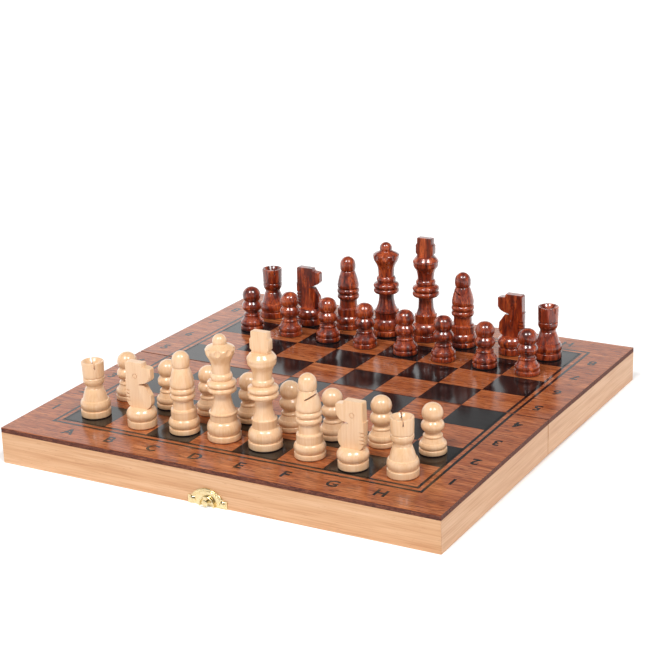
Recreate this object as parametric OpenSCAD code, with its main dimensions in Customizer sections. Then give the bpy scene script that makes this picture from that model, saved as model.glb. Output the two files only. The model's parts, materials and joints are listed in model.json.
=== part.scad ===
// Folding wooden chess board with a full set of turned chessmen.
// +X runs along the near edge from file a to file h, +Y from rank 1 to rank 8, +Z up.
// The origin is on the table, under the middle of the fold.

/* [Board] */
// Length of the board along the fold
board_w = 290; // [270:1:350]
// Depth of one half, from the fold to its outer edge
half_d = 145; // [135:1:180]
// Height of a half, from rim to playing surface
board_h = 22.5; // [18:0.5:40]
// Thickness of the top panel
panel_t = 3; // [2:0.5:5]
// Thickness of the wooden rails
rail_t = 9; // [8:0.5:14]
// Gap left between each half and the fold line
fold_gap = 0.05; // [0.02:0.01:0.3]

/* [Printed field] */
// Side of one square
pitch = 29.4; // [26:0.1:30.5]
// Gap between two printed squares that meet at a corner
print_gap = 0.1; // [0.05:0.05:0.3]
// Depth of the printed layer
print_t = 0.15; // [0.1:0.05:0.5]
// Width of the two border lines
line_w = 1.2; // [0.5:0.1:2.5]
// Distance from the field's edge to the outer border line
line_gap = 4.2; // [3:0.1:6]

/* [Hinges] */
// Distance of each hinge from the middle
hinge_x = 88; // [60:1:100]
// Length of a hinge along the fold
hinge_l = 25; // [18:1:35]
// Width of one leaf, from the hinge axis
leaf_w = 7.5; // [6:0.5:8]
// Thickness of a leaf
leaf_t = 0.6; // [0.4:0.1:1]
// Outer radius of the hinge barrel
barrel_r = 1.5; // [1.3:0.1:2]
// Radius of the hinge pin
pin_r = 0.6; // [0.5:0.05:0.8]
// Radial gap between the pin and the turning knuckle
pin_gap = 0.05; // [0.03:0.01:0.1]
// Gap between two knuckles
knuckle_gap = 0.12; // [0.08:0.02:0.3]
// Radius of a hinge screw's shank
screw_r = 0.8; // [0.6:0.1:1]
// Depth of a hinge screw in the wood
screw_l = 6; // [4:0.5:10]

/* [Clasp] */
// Width of a clasp plate
plate_w = 26; // [22:0.5:32]
// Height of a clasp plate above the rim
plate_h = 10.8; // [9.5:0.2:13]
// Height of a clasp plate's straight ends
plate_end_h = 5; // [4:0.2:6]
// Thickness of the clasp's sheet brass
plate_t = 0.6; // [0.4:0.1:1]
// Height of the raised edge on a clasp plate
bead_h = 0.4; // [0.2:0.1:0.8]
// Distance of the nails from the clasp's middle
nail_x = 10; // [8.5:0.25:12]
// Radius of a nail's round head
nail_head_r = 2; // [1.2:0.1:2.4]
// Radius of the arch around the catch
arch_r = 5.1; // [4:0.1:5.6]
// How far the arch stands out from its plate
arch_out = 1.6; // [1:0.1:2.5]
// Height of the catch stud above the rim
stud_z = 2.8; // [2.4:0.1:3.2]
// Height of the hook's pivot from the rim
pivot_z = 4.6; // [4:0.1:6]
// Thickness of the hook
hook_t = 0.8; // [0.5:0.1:1.2]
// Radius of the stud's shank and of the pivot
stud_r = 1; // [0.7:0.1:1.3]
// Gap around the stud and the pivot
hook_gap = 0.08; // [0.05:0.01:0.1]

/* [Chessmen] */
// Height of a king
king_h = 70; // [58:1:84]
// Width of a king's foot
king_d = 20; // [17:0.5:24]
// Height of a queen
queen_h = 64; // [54:1:77]
// Width of a queen's foot
queen_d = 20; // [17:0.5:24]
// Height of a bishop
bishop_h = 50; // [42:1:60]
// Width of a bishop's foot
bishop_d = 18.3; // [15.5:0.1:22]
// Height of a knight
knight_h = 40; // [34:1:48]
// Width of a knight's foot
knight_d = 17.6; // [15:0.1:21]
// Height of a rook
rook_h = 34.5; // [29:0.5:42]
// Width of a rook's foot
rook_d = 18.2; // [15.5:0.1:22]
// Height of a pawn
pawn_h = 30; // [25:0.5:36]
// Width of a pawn's foot
pawn_d = 16.1; // [13.5:0.1:19.5]
// Thickness of the felt under each man
felt_t = 0.8; // [0.5:0.1:1.5]
// Distance of the felt's edge from the foot's edge
felt_inset = 0.9; // [0.4:0.1:1.5]
// How far the men stand off the middle of their squares: 1 as set by hand, 0 centred
hand_play = 1; // [0:0.1:1]

/* [Hidden] */
$fn = 64;
sides = ["front", "rear"];
ends = ["left", "right"];
files = ["a", "b", "c", "d", "e", "f", "g", "h"];
colours = ["white", "black"];
back_rank = ["rook", "knight", "bishop", "queen", "king", "bishop", "knight", "rook"];
men = [for (colour = colours) each concat(
    [for (f = [0:7]) str(colour, "_", back_rank[f], "_", files[f])],
    [for (f = [0:7]) str(colour, "_pawn_", files[f])])];
board_nodes = [for (side = sides) each concat(
    [for (name = ["panel", "print", "rail", "fold_rail", "hinge_screws"]) str(side, "_", name)],
    [for (end = ends) str(side, "_side_rail_", end)],
    [for (end = ends) str(side, "_hinge_leaf_", end)])];
// Where each man of files a to h stands: right and back of its square's middle, and its turn.
white_back = [[-1.9, -0.9, 45], [4.1, -3.3, 180], [2.7, -0.4, 126], [0.5, 0.2, 0],
    [-0.8, -0.4, 0], [0, -2, 13], [0, -5.2, 0], [0.6, -3.4, 32]];
white_pawns = [[0.4, 1.1, 0], [1.9, -0.1, 0], [0.6, 1.2, 0], [-0.1, 0.8, 0],
    [-0.4, -1, 0], [-1.5, -1.5, 0], [-0.2, 0.4, 0], [1.7, 2.4, 0]];
black_pawns = [[0.6, -1, 0], [1, -0.7, 0], [0.8, -0.8, 0], [-0.4, -1.3, 0],
    [0.8, -3, 0], [-0.8, -3.7, 0], [-1, -3.7, 0], [-0.6, -5.2, 0]];
black_back = [[-1.2, 0.6, 45], [1, -3.3, 180], [-0.3, 1, 120], [0.5, -1, 0],
    [0, 0, 0], [-2, -1, 187], [3.8, -1.5, 0], [-1, -0.2, -28]];
clasp_nodes = ["hinge_pin_left", "hinge_pin_right", "catch_plate", "catch_stud", "catch_nails",
    "latch_plate", "latch_nails", "latch_pivot", "latch_hook"];

half_w = board_w / 2;
rail_h = board_h - panel_t;
lean = asin(barrel_r / half_d);
field = 4 * pitch;
nest = 0.02;
mortise_slack = 0.15;
knuckle_l = (hinge_l - 2 * knuckle_gap) / 3;
screw_x = hinge_l / 3;
screw_y = (leaf_w + barrel_r) / 2;
screw_head_r = 1.6;
screw_head_t = 0.5;
nail_r = 0.7;
nail_l = 6;
nail_z = plate_end_h / 2 + 0.3;
head_gap = 0.05;
arch_t = 0.7;
hook_y = plate_t + arch_out + 0.15;
rivet_head_t = 0.7;
rivet_head_r = 2;
rivet_l = 5;
latch_play = 0.15; // half of what the fold's stop leaves open between the rims
wood_pale = "#e0b283";
wood_print = "#a4552d";
ink = "#201c1e";
brass = "#c9a24c";
cream = "#ecc795";
dark_red = "#6e2612";
felt_grey = "#3a3a3c";

// Stands a half on the table: its outer rim and the hinge barrels touch z = 0.
module on_table(side) {
    translate([0, 0, barrel_r])
        rotate([side == "front" ? lean : -lean, 0, 0])
            children();
}

// Draws in the front half's frame for either half; the fold is at y = 0 and the rim at z = 0.
module in_half(side) {
    on_table(side)
        mirror([0, side == "front" ? 0 : 1, 0])
            children();
}

module hinge_places() {
    for (x = [-hinge_x, hinge_x])
        translate([x, 0, 0])
            children();
}

module screw_places() {
    for (x = [-screw_x, screw_x])
        translate([x, -screw_y, 0])
            children();
}

module nail_places() {
    for (x = [-nail_x, nail_x])
        translate([x, -half_d, nail_z])
            rotate([90, 0, 0])
                children();
}

// Where the clasp's middle rivet sits: the stud on the catch, the pivot on the latch.
module rivet_place(side) {
    translate([0, -half_d, side == "front" ? stud_z : pivot_z])
        rotate([90, 0, 0])
            children();
}

// Board ---------------------------------------------------------------

// Printed layer in plan: the dark squares of one half and its border lines.
module print_plan(side) {
    dark = side == "front" ? 0 : 1;
    for (f = [0:7], r = [1:4])
        if ((f + r + dark) % 2 == 0)
            translate([(f - 4) * pitch + print_gap / 2, -r * pitch + print_gap / 2])
                square(pitch - print_gap);
    for (edge = [field, field + line_gap])
        difference() {
            translate([-edge - line_w / 2, -edge - line_w / 2])
                square([2 * edge + line_w, edge + line_w / 2 - fold_gap]);
            translate([-edge + line_w / 2, -edge + line_w / 2])
                square([2 * edge - line_w, 2 * edge]);
        }
}

module panel(side) {
    color(wood_print) in_half(side) difference() {
        translate([-half_w, -half_d, rail_h])
            cube([board_w, half_d - fold_gap, panel_t]);
        translate([0, 0, board_h - print_t])
            linear_extrude(2 * print_t)
                print_plan(side);
    }
}

module print_layer(side) {
    color(ink) in_half(side)
        translate([0, 0, board_h - print_t])
            linear_extrude(print_t)
                print_plan(side);
}

// Outer rail with mitred ends, drilled for the clasp.
module outer_rail(side) {
    color(wood_pale) in_half(side) difference() {
        linear_extrude(rail_h)
            polygon([[-half_w, -half_d], [half_w, -half_d],
                [half_w - rail_t, -half_d + rail_t], [-half_w + rail_t, -half_d + rail_t]]);
        nail_places()
            translate([0, 0, -nail_l])
                cylinder(h = 2 * nail_l, r = nail_r + nest);
        rivet_place(side)
            translate([0, 0, -rivet_l])
                cylinder(h = 2 * rivet_l, r = stud_r + nest);
    }
}

module side_rail(side, end) {
    color(wood_pale) in_half(side)
        mirror([end == "left" ? 0 : 1, 0, 0])
            linear_extrude(rail_h)
                polygon([[-half_w, -half_d], [-half_w + rail_t, -half_d + rail_t],
                    [-half_w + rail_t, -fold_gap], [-half_w, -fold_gap]]);
}

// Rail along the fold, with a mortise for each hinge leaf and room for its barrel.
module fold_rail(side) {
    color(wood_pale) in_half(side) difference() {
        translate([-half_w + rail_t, -rail_t, 0])
            cube([board_w - 2 * rail_t, rail_t - fold_gap, rail_h]);
        hinge_places() {
            translate([-hinge_l / 2 - nest, -leaf_w - nest, -1])
                cube([hinge_l + 2 * nest, leaf_w + 1, barrel_r + 1]);
            translate([-hinge_l / 2 - nest, -barrel_r - mortise_slack, -1])
                cube([hinge_l + 2 * nest, barrel_r + 1, barrel_r + mortise_slack + 1]);
            screw_places()
                cylinder(h = barrel_r + screw_l, r = screw_r + nest);
        }
    }
}

// Hinges --------------------------------------------------------------

// Knuckles along the barrel: the outer two for the front leaf, the middle one for the rear.
module knuckles(side, r) {
    spans = side == "front" ? [-1, 1] : [0];
    for (k = spans)
        translate([k * (knuckle_l + knuckle_gap) - knuckle_l / 2, 0, 0])
            rotate([0, 90, 0])
                cylinder(h = knuckle_l, r = r);
}

module hinge_leaf(side, end) {
    bore = side == "front" ? pin_r + nest : pin_r + pin_gap;
    other = side == "front" ? "rear" : "front";
    color(brass) in_half(side)
        translate([end == "left" ? -hinge_x : hinge_x, 0, 0])
            difference() {
                union() {
                    translate([-hinge_l / 2, -leaf_w, barrel_r - leaf_t])
                        cube([hinge_l, leaf_w, leaf_t]);
                    knuckles(side, barrel_r);
                }
                leaf_cuts(other);
                translate([-hinge_l, 0, 0])
                    rotate([0, 90, 0])
                        cylinder(h = 2 * hinge_l, r = bore);
                screw_places()
                    cylinder(h = 2 * barrel_r, r = screw_r + nest);
            }
}

// Clears the leaf around the other leaf's knuckles.
module leaf_cuts(other) {
    spans = other == "front" ? [-1, 1] : [0];
    reach = barrel_r + mortise_slack;
    for (k = spans)
        translate([k * (knuckle_l + knuckle_gap) - knuckle_l / 2 - knuckle_gap, -reach, -2 * reach])
            cube([knuckle_l + 2 * knuckle_gap, 2 * reach, 4 * reach]);
}

module hinge_pin(end) {
    color(brass) on_table("front")
        translate([end == "left" ? -hinge_x : hinge_x, 0, 0])
            rotate([0, 90, 0])
                cylinder(h = hinge_l, r = pin_r, center = true);
}

module hinge_screws(side) {
    color(brass) in_half(side)
        hinge_places() screw_places() {
            translate([0, 0, barrel_r - leaf_t - screw_head_t])
                cylinder(h = screw_head_t, r = screw_head_r);
            translate([0, 0, barrel_r - leaf_t])
                cylinder(h = leaf_t + screw_l - nest, r = screw_r);
        }
}

// Clasp ---------------------------------------------------------------

// Outline of a clasp plate: straight ends and a bowed top, with its foot on the rim.
module plate_outline(inset) {
    rise = plate_h - plate_end_h;
    bow_w = plate_w / 2 - 2.4;
    bow_r = (rise * rise + bow_w * bow_w) / (2 * rise);
    intersection() {
        translate([-plate_w / 2 + inset, 0])
            square([plate_w - 2 * inset, plate_h]);
        union() {
            translate([-plate_w / 2, 0])
                square([plate_w, plate_end_h - inset]);
            intersection() {
                translate([0, plate_h - bow_r])
                    circle(bow_r - inset);
                translate([-bow_w, 0])
                    square([2 * bow_w, plate_h]);
            }
        }
    }
}

module arch_outline(r) {
    translate([0, plate_end_h - 3.8])
        circle(r);
    translate([-r, 0])
        square([2 * r, plate_end_h - 3.8]);
}

// Stamped plate with a raised edge that stops at the nail heads, and holes for nails and rivet.
module clasp_plate(side) {
    z_bead = plate_t + bead_h;
    color(brass) in_half(side) difference() {
        translate([0, -half_d, 0])
            rotate([90, 0, 0])
                union() {
                    linear_extrude(plate_t)
                        plate_outline(0);
                    linear_extrude(z_bead)
                        difference() {
                            plate_outline(0.3);
                            plate_outline(0.9);
                        }
                    if (side == "front")
                        linear_extrude(plate_t + arch_out)
                            intersection() {
                                difference() {
                                    arch_outline(arch_r);
                                    arch_outline(arch_r - arch_t);
                                }
                                plate_outline(0);
                            }
                    else
                        translate([0, pivot_z, 0])
                            cylinder(h = hook_y - hook_gap, r = rivet_head_r);
                }
        nail_places() {
            translate([0, 0, -nail_l])
                cylinder(h = 2 * nail_l, r = nail_r + nest);
            translate([0, 0, plate_t])
                cylinder(h = 2 * bead_h, r = nail_head_r + head_gap);
        }
        rivet_place(side)
            translate([0, 0, -rivet_l])
                cylinder(h = 2 * rivet_l, r = stud_r + nest);
    }
}

// Round-headed nails through a plate's ends.
module clasp_nails(side) {
    color(brass) in_half(side)
        nail_places() {
            translate([0, 0, -nail_l + nest])
                cylinder(h = nail_l + plate_t - nest, r = nail_r);
            nail_head();
        }
}

module nail_head() {
    dome_r = nail_head_r * 1.15;
    drop = sqrt(dome_r * dome_r - nail_head_r * nail_head_r);
    intersection() {
        translate([0, 0, plate_t - drop])
            sphere(dome_r);
        translate([0, 0, plate_t])
            cylinder(h = dome_r, r = nail_head_r + 1);
    }
}

// Headed rivet that the hook turns on or catches.
module clasp_rivet(side) {
    head_z = hook_y + hook_t + hook_gap;
    color(brass) in_half(side)
        rivet_place(side) {
            translate([0, 0, -rivet_l + nest])
                cylinder(h = rivet_l + head_z - nest, r = stud_r);
            translate([0, 0, head_z])
                cylinder(h = rivet_head_t, r = rivet_head_r);
        }
}

// Hook parked along the plate; it turns about the pivot to reach over the fold to the stud.
module latch_hook() {
    reach = pivot_z + stud_z + latch_play;
    color(brass) on_table("rear")
        translate([0, half_d + hook_y, pivot_z])
            rotate([-90, 0, 0])
                linear_extrude(hook_t)
                    difference() {
                        hook_outline(reach);
                        circle(stud_r + hook_gap);
                    }
}

// Arm along +X with a throat that the stud enters from the side.
module hook_outline(reach) {
    eye_r = rivet_head_r + 0.2;
    tip_r = stud_r + 1.3;
    throat_r = stud_r + 0.25;
    difference() {
        union() {
            circle(eye_r);
            translate([0, -1.4])
                square([reach, 2.8]);
            translate([reach, 0])
                circle(tip_r);
        }
        intersection() {
            difference() {
                circle(reach + throat_r);
                circle(reach - throat_r);
            }
            square([2 * reach, 2 * reach]);
        }
        translate([reach, 0])
            circle(throat_r);
    }
}

// Chessmen ------------------------------------------------------------

// Turned shape from a flat outline: radius along x, height along y.
module turned() {
    rotate_extrude()
        intersection() {
            union() children();
            square([2 * king_d, 2 * king_h]);
        }
}

module band(r, z0, z1) {
    translate([0, z0])
        square([r, z1 - z0]);
}

module flare(r0, z0, r1, z1) {
    polygon([[0, z0], [r0, z0], [r1, z1], [0, z1]]);
}

// Band with a half-round edge.
module bead(r, z0, z1) {
    t = (z1 - z0) / 2;
    band(r - t, z0, z1);
    translate([r - t, z0 + t])
        circle(t);
}

module ball(r, z) {
    translate([0, z])
        circle(r);
}

// Foot shared by the turned men: an upright rim with a fat bead on it.
module foot(r, rim_h, bead_top) {
    band(r, felt_t, rim_h);
    bead(r * 0.985, rim_h, bead_top);
}

module felt(d) {
    color(felt_grey)
        cylinder(h = felt_t, d = d - 2 * felt_inset);
}

// Two beads with a groove between them.
module double_collar(r, z0, z1) {
    mid = (z0 + z1) / 2;
    bead(r, z0, mid);
    bead(r, mid, z1);
}

module pawn(h, d) {
    r = d / 2;
    turned() {
        foot(r, h * 0.12, h * 0.25);
        flare(r * 0.86, h * 0.2, r * 0.62, h * 0.35);
        flare(r * 0.6, h * 0.34, r * 0.5, h * 0.5);
        bead(r * 0.77, h * 0.48, h * 0.64);
        ball(h * 0.197, h * 0.803);
    }
}

module rook(h, d) {
    r = d / 2;
    head_r = r * 0.74;
    slot = 0.9;
    difference() {
        turned() {
            foot(r, h * 0.13, h * 0.32);
            flare(r * 0.93, h * 0.26, r * 0.54, h * 0.53);
            band(r * 0.55, h * 0.5, h * 0.62);
            flare(head_r * 0.86, h * 0.6, head_r, h * 0.7);
            band(head_r, h * 0.7, h);
        }
        translate([0, 0, h * 0.94])
            cylinder(h = h * 0.06 + nest, r1 = head_r * 0.55, r2 = head_r * 0.82);
        for (turn = [0, 90])
            rotate([0, 0, turn])
                translate([-d / 2, -slot / 2, h * 0.895])
                    cube([d, slot, h]);
    }
}

module bishop(h, d) {
    r = d / 2;
    ball_r = h * 0.106;
    difference() {
        turned() {
            foot(r, h * 0.07, h * 0.2);
            flare(r * 0.86, h * 0.15, r * 0.78, h * 0.28);
            band(r * 0.62, h * 0.28, h * 0.44);
            double_collar(r * 0.85, h * 0.42, h * 0.56);
            flare(r * 0.84, h * 0.54, r * 0.82, h * 0.62);
            flare(r * 0.82, h * 0.62, r * 0.52, h * 0.82);
            ball(ball_r, h - ball_r);
        }
        translate([-0.3, -d / 2, h * 0.71])
            rotate([0, -26, 0])
                cube([d, d, 1]);
    }
}

module queen(h, d) {
    r = d / 2;
    ball_r = h * 0.072;
    turned() {
        royal_stem(h, r, 0.46, 0.585);
        flare(r * 0.58, h * 0.64, r * 0.6, h * 0.71);
        flare(r * 0.6, h * 0.71, r * 0.89, h * 0.86);
        flare(r * 0.89, h * 0.86, r * 0.8, h * 0.885);
        ball(ball_r, h - ball_r);
    }
}

// Foot, waist and collars shared by king and queen.
module royal_stem(h, r, collar_0, collar_1) {
    foot(r, h * 0.065, h * 0.165);
    flare(r * 0.97, h * 0.12, r * 0.78, h * 0.2);
    band(r * 0.76, h * 0.2, h * 0.26);
    flare(r * 0.62, h * 0.25, r * 0.49, h * 0.38);
    band(r * 0.49, h * 0.37, h * 0.47);
    double_collar(r * 0.89, h * (collar_0 - 0.01), h * (collar_1 - 0.015));
    bead(r * 0.66, h * (collar_1 - 0.02), h * (collar_1 + 0.06));
    band(r * 0.6, h * collar_1, h * 0.68);
}

module king(h, d) {
    r = d / 2;
    turned() {
        royal_stem(h, r, 0.44, 0.555);
        flare(r * 0.64, h * 0.67, r * 0.8, h * 0.755);
        flare(r * 0.8, h * 0.755, r * 0.6, h * 0.82);
    }
    translate([0, d * 0.125, h * 0.8])
        rotate([90, 0, 0])
            linear_extrude(d * 0.25)
                king_finial(h * 0.2, d * 0.31);
}

// Flat cross-like top: a wide block with a narrower one above it, notched at the foot.
module king_finial(h, half) {
    polygon([[-half * 0.84, 0], [half * 0.84, 0], [half * 0.84, h * 0.16], [half, h * 0.26],
        [half, h * 0.66], [half * 0.85, h * 0.72], [half * 0.85, h], [-half * 0.85, h],
        [-half * 0.85, h * 0.72], [-half, h * 0.66], [-half, h * 0.26], [-half * 0.84, h * 0.16]]);
}

// Slab-sided head facing -X on a turned foot.
module knight(h, d) {
    r = d / 2;
    head_t = d * 0.31;
    turned() {
        foot(r, h * 0.12, h * 0.3);
    }
    translate([0, head_t / 2, 0])
        rotate([90, 0, 0])
            linear_extrude(head_t)
                knight_outline(h, r);
}

module knight_outline(h, r) {
    polygon([[r * 0.91, h * 0.29], [r * 0.91, h * 0.98], [r * 0.8, h], [-r * 0.41, h],
        [-r * 0.48, h * 0.95], [-r * 0.98, h * 0.935], [-r * 1.05, h * 0.92],
        [-r * 1.05, h * 0.78], [-r * 0.93, h * 0.735], [-r * 0.52, h * 0.695],
        [-r * 0.14, h * 0.675], [-r * 0.14, h * 0.66], [-r * 0.47, h * 0.65],
        [-r * 0.94, h * 0.505], [-r * 0.94, h * 0.4], [-r * 0.66, h * 0.3], [-r * 0.66, h * 0.29]]);
}

// Wood of one man, by its name.
module man_wood(kind) {
    if (kind == "king") king(king_h, king_d);
    if (kind == "queen") queen(queen_h, queen_d);
    if (kind == "bishop") bishop(bishop_h, bishop_d);
    if (kind == "knight") knight(knight_h, knight_d);
    if (kind == "rook") rook(rook_h, rook_d);
    if (kind == "pawn") pawn(pawn_h, pawn_d);
}

function foot_d(kind) =
    kind == "king" ? king_d :
    kind == "queen" ? queen_d :
    kind == "bishop" ? bishop_d :
    kind == "knight" ? knight_d :
    kind == "rook" ? rook_d : pawn_d;

// One man on its home square, set down as its stance says.
module man(colour, kind, f, r, stance) {
    side = colour == "white" ? "front" : "rear";
    place_x = (f - 3.5) * pitch + hand_play * stance[0];
    place_y = (r - 3.5) * pitch + hand_play * stance[1];
    on_table(side)
        translate([place_x, place_y, board_h])
            rotate([0, 0, stance[2]]) {
                color(colour == "white" ? cream : dark_red)
                    man_wood(kind);
                felt(foot_d(kind));
            }
}

// Nodes ---------------------------------------------------------------

for (side = sides) {
    panel(side);
    print_layer(side);
    outer_rail(side);
    fold_rail(side);
    hinge_screws(side);
    for (end = ends) {
        side_rail(side, end);
        hinge_leaf(side, end);
    }
}
hinge_pin("left");  // hinge_pin_left
hinge_pin("right");  // hinge_pin_right
clasp_plate("front");  // catch_plate
clasp_rivet("front");  // catch_stud
clasp_nails("front");  // catch_nails
clasp_plate("rear");  // latch_plate
clasp_nails("rear");  // latch_nails
clasp_rivet("rear");  // latch_pivot
latch_hook();
for (f = [0:7]) {
    man("white", back_rank[f], f, 0, white_back[f]);
    man("white", "pawn", f, 1, white_pawns[f]);
    man("black", "pawn", f, 6, black_pawns[f]);
    man("black", back_rank[f], f, 7, black_back[f]);
}
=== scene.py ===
# Folding chess board with its thirty-two men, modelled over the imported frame
import json
import math

import bmesh
import bpy
from mathutils import Matrix, Vector


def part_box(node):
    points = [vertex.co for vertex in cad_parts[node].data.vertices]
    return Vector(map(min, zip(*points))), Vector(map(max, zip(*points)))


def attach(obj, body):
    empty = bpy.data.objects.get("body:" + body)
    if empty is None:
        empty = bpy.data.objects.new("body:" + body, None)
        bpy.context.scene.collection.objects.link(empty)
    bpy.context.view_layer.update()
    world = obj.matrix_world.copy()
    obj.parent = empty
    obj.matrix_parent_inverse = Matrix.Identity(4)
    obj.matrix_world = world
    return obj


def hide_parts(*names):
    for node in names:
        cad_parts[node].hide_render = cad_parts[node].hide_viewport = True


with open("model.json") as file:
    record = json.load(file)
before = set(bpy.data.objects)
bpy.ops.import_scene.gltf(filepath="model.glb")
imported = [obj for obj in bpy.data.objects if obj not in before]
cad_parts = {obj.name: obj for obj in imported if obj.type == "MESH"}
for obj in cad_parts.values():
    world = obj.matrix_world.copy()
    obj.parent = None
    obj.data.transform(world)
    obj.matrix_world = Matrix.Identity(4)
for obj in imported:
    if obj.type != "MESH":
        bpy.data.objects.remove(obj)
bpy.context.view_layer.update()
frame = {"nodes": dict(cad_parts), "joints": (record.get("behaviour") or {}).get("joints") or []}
mm = 0.001
scene = bpy.context.scene

# Camera
studioCamera = {
    "place": (0.51724, -0.91242, 0.41496),
    "heading": 29.3075, "pitch": 71.4355, "roll": -1.5973,
    "lens": 99.33, "sensorWidth": 36, "shiftX": -0.01926, "shiftY": -0.00106,
}
lensData = bpy.data.cameras.new("studioCamera")
lensData.lens = studioCamera["lens"]
lensData.sensor_width = studioCamera["sensorWidth"]
lensData.shift_x = studioCamera["shiftX"]
lensData.shift_y = studioCamera["shiftY"]
camera = bpy.data.objects.new("studioCamera", lensData)
camera.matrix_world = (Matrix.Translation(studioCamera["place"])
                       @ Matrix.Rotation(math.radians(studioCamera["heading"]), 4, "Z")
                       @ Matrix.Rotation(math.radians(studioCamera["pitch"]), 4, "X")
                       @ Matrix.Rotation(math.radians(studioCamera["roll"]), 4, "Z"))
scene.collection.objects.link(camera)
scene.camera = camera
print("camera set")


# Sizes of the frame that the pieces are fitted to
def middleOf(node):
    low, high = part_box(node)
    return [(a + b) / 2 for a, b in zip(low, high)]


joints = {joint["name"]: joint for joint in frame["joints"]}
foldHeight = joints["board_fold"]["pos_m"][2]
liftAxis = joints["lift_white_king_e"]["axis"]
lean = math.atan2(-liftAxis[1], liftAxis[2])    # each half slopes down from the fold
panelLow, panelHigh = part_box("front_panel")
railLow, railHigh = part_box("front_side_rail_left")
boardHeight = (panelHigh[2] - foldHeight) / math.cos(lean)
panelThick = 3 * mm
board = {    # in metres, like the frame
    "width": panelHigh[0] - panelLow[0],
    "halfDepth": foldHeight / math.sin(lean),
    "height": boardHeight,
    "railHeight": boardHeight - panelThick,
    "railWidth": railHigh[0] - railLow[0],
    "pitch": (middleOf("white_pawn_h")[0] - middleOf("white_pawn_a")[0]) / 7,    # a to h
}
onTable = {side: Matrix.Translation((0, 0, foldHeight)) @ Matrix.Rotation(sign * lean, 4, "X")
           for side, sign in (("front", 1), ("rear", -1))}
mirrorY = Matrix.Scale(-1, 4, (0, 1, 0))
inHalf = {"front": onTable["front"], "rear": onTable["rear"] @ mirrorY}
print("board", {key: round(value / mm, 3) for key, value in board.items()})


# Mesh helpers
meshing = {
    "turnWeld": 0.004, "weld": 0.002,    # mm
    "sharpFrom": 32,     # degrees
    "broadFlat": 20,     # mm2
}


def outlineRows(rows, turnStep):
    # rows of (radius, height, bulge) in mm; a bulge is the tangent of a quarter of the arc's
    # angle, outward if positive
    points = []
    for row in rows:
        end = Vector((row[0], row[1]))
        bulge = row[2] if len(row) > 2 else 0
        if bulge and points:
            start = points[-1]
            chord = end - start
            centre = (start + end) / 2 + Vector((-chord.y, chord.x)) * (1 - bulge * bulge) / (4 * bulge)
            sweep = 4 * math.atan(bulge)
            steps = max(2, math.ceil(abs(math.degrees(sweep)) / turnStep))
            for i in range(1, steps):
                points.append(centre + Matrix.Rotation(sweep * i / steps, 2) @ (start - centre))
        points.append(end)
    return points


def turn(rows, steps=80, turnStep=14):
    # an outline spun about the z axis into a closed shape
    bm = bmesh.new()
    verts = [bm.verts.new((p.x * mm, 0, p.y * mm)) for p in outlineRows(rows, turnStep)]
    edges = [bm.edges.new(pair) for pair in zip(verts, verts[1:])]
    bmesh.ops.spin(bm, geom=verts + edges, axis=(0, 0, 1), cent=(0, 0, 0), dvec=(0, 0, 0),
                   angle=2 * math.pi, steps=steps, use_merge=True, use_duplicate=False)
    bmesh.ops.remove_doubles(bm, verts=bm.verts, dist=meshing["turnWeld"] * mm)
    bmesh.ops.recalc_face_normals(bm, faces=bm.faces)
    return bm


def slab(points, low, high):
    # a flat outline in mm pulled from one height to another
    bm = bmesh.new()
    face = bm.faces.new([bm.verts.new((x * mm, y * mm, low * mm)) for x, y in points])
    pulled = bmesh.ops.extrude_face_region(bm, geom=[face], use_keep_orig=True)
    farEnd = [v for v in pulled["geom"] if isinstance(v, bmesh.types.BMVert)]
    bmesh.ops.translate(bm, verts=farEnd, vec=(0, 0, (high - low) * mm))
    bmesh.ops.recalc_face_normals(bm, faces=bm.faces)
    return bm


def block(low, high):
    # a box between two corners, in mm
    bm = bmesh.new()
    bmesh.ops.create_cube(bm, size=1)
    for v in bm.verts:
        v.co = Vector([(low[i] if v.co[i] < 0 else high[i]) * mm for i in range(3)])
    return bm


def softenEdges(bm, width, segments=3, angle=25, pick=None):
    # rounds the edges that turn by more than the angle, or those of them that are picked
    sharp = [e for e in bm.edges if len(e.link_faces) == 2
             and e.calc_face_angle(0) > math.radians(angle) and (pick is None or pick(e))]
    bmesh.ops.bevel(bm, geom=sharp, offset=width * mm, offset_type="OFFSET", segments=segments,
                    profile=0.5, affect="EDGES", material=-1, clamp_overlap=True)
    return bm


def join(bm, *others):
    # adds other meshes to bm
    for other in others:
        spare = bpy.data.meshes.new("spare")
        other.to_mesh(spare)
        other.free()
        bm.from_mesh(spare)
        bpy.data.meshes.remove(spare)
    return bm


def asObject(bm, name):
    mesh = bpy.data.meshes.new(name)
    bm.to_mesh(mesh)
    bm.free()
    item = bpy.data.objects.new(name, mesh)
    scene.collection.objects.link(item)
    return item


def combine(bm, others, operation="DIFFERENCE"):
    # cuts the other meshes out of bm, fuses them with it, or keeps what they share
    blank = asObject(bm, "blank")
    tools = [asObject(other, "tool") for other in others]
    for tool in tools:
        cut = blank.modifiers.new("cut", "BOOLEAN")
        cut.operation = operation
        cut.solver = "EXACT"
        cut.object = tool
    result = bmesh.new()
    result.from_object(blank, bpy.context.evaluated_depsgraph_get())
    for item in [blank] + tools:
        mesh = item.data
        bpy.data.objects.remove(item)
        bpy.data.meshes.remove(mesh)
    return result


def moved(bm, matrix):
    bmesh.ops.transform(bm, matrix=matrix, verts=bm.verts)
    if matrix.determinant() < 0:
        bmesh.ops.reverse_faces(bm, faces=bm.faces)
    return bm


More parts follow.
